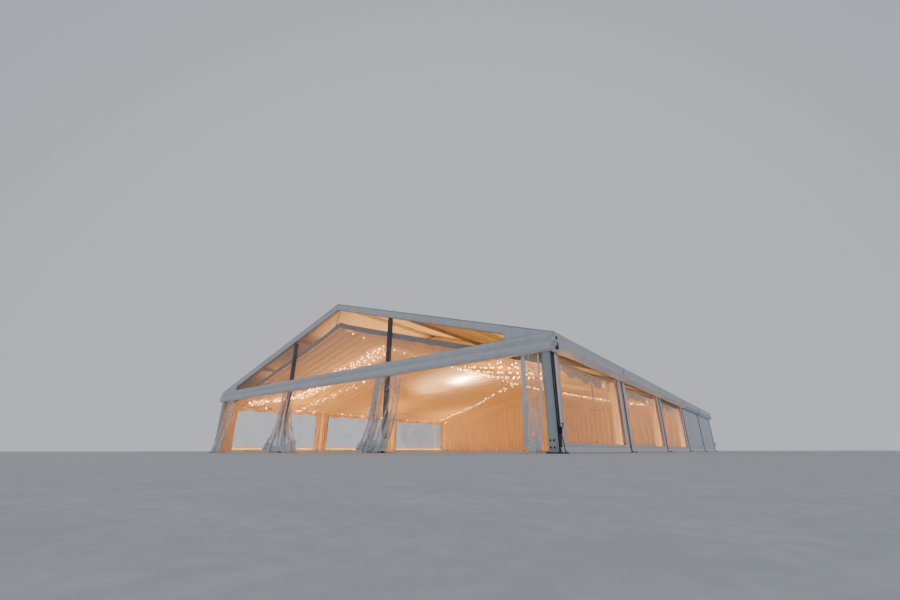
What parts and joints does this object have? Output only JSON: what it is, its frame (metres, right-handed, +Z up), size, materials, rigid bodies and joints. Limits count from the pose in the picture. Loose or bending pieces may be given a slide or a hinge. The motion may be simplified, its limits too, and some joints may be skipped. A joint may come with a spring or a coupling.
{
  "type": "marquee tent",
  "caption": "Clear-span aluminium frame marquee with a white pitched roof, clear wall and gable windows, a pleated lining and drawn-back front curtains.",
  "frame": {"origin": "centre of the footprint, on the ground, at the floor's underside", "axes": "+Z up, +Y along the tent from the open front to the closed back, +X to the right seen from the front"},
  "size_m": [15.28, 25.515, 4.765],
  "materials": {
    "leg_aluminium": "satin anodised",
    "dark_aluminium": "dark anodised",
    "mill_aluminium": "satin",
    "white_pvc": "satin coated sheet",
    "clear_pvc": "clear flexible sheet",
    "curtain_pvc": "clear flexible sheet in gathers with white hems",
    "ivory_cloth": "pleated cloth",
    "floor_boards": "matt boards"
  },
  "bodies": {
    "root": {"floor": "floor_boards", "leg_left_1": "leg_aluminium", "leg_left_2": "leg_aluminium", "leg_left_3": "leg_aluminium", "leg_left_4": "leg_aluminium", "leg_left_5": "leg_aluminium", "leg_left_6": "leg_aluminium", "leg_right_1": "leg_aluminium", "leg_right_2": "leg_aluminium", "leg_right_3": "leg_aluminium", "leg_right_4": "leg_aluminium", "leg_right_5": "leg_aluminium", "leg_right_6": "leg_aluminium", "rafters_1": "mill_aluminium", "rafters_2": "mill_aluminium", "rafters_3": "mill_aluminium", "rafters_4": "mill_aluminium", "rafters_5": "mill_aluminium", "rafters_6": "mill_aluminium", "ridge_purlin": "mill_aluminium", "purlin_left_upper": "mill_aluminium", "purlin_left_lower": "mill_aluminium", "purlin_right_upper": "mill_aluminium", "purlin_right_lower": "mill_aluminium", "eave_beam_left": "mill_aluminium", "eave_beam_right": "mill_aluminium", "gable_frame_front": "dark_aluminium", "gable_frame_back": "dark_aluminium", "roof_sheet_1": "white_pvc", "roof_sheet_2": "white_pvc", "roof_sheet_3": "white_pvc", "roof_sheet_4": "white_pvc", "roof_sheet_5": "white_pvc", "gable_border_front": "white_pvc", "gable_window_front": "clear_pvc", "end_wall_back": "white_pvc", "wall_left_1": "white_pvc", "window_left_1": "clear_pvc", "wall_left_2": "white_pvc", "window_left_2": "clear_pvc", "wall_left_3": "white_pvc", "window_left_3": "clear_pvc", "wall_left_4": "white_pvc", "wall_left_5": "white_pvc", "wall_right_1": "white_pvc", "window_right_1": "clear_pvc", "wall_right_2": "white_pvc", "window_right_2": "clear_pvc", "wall_right_3": "white_pvc", "window_right_3": "clear_pvc", "wall_right_4": "white_pvc", "wall_right_5": "white_pvc", "roof_lining": "ivory_cloth", "wall_lining_left": "ivory_cloth", "wall_lining_right": "ivory_cloth", "end_lining": "ivory_cloth", "curtain_left_corner": "curtain_pvc", "curtain_left_post": "curtain_pvc", "curtain_right_post": "curtain_pvc", "curtain_right_corner": "curtain_pvc"}
  },
  "joints": []
}
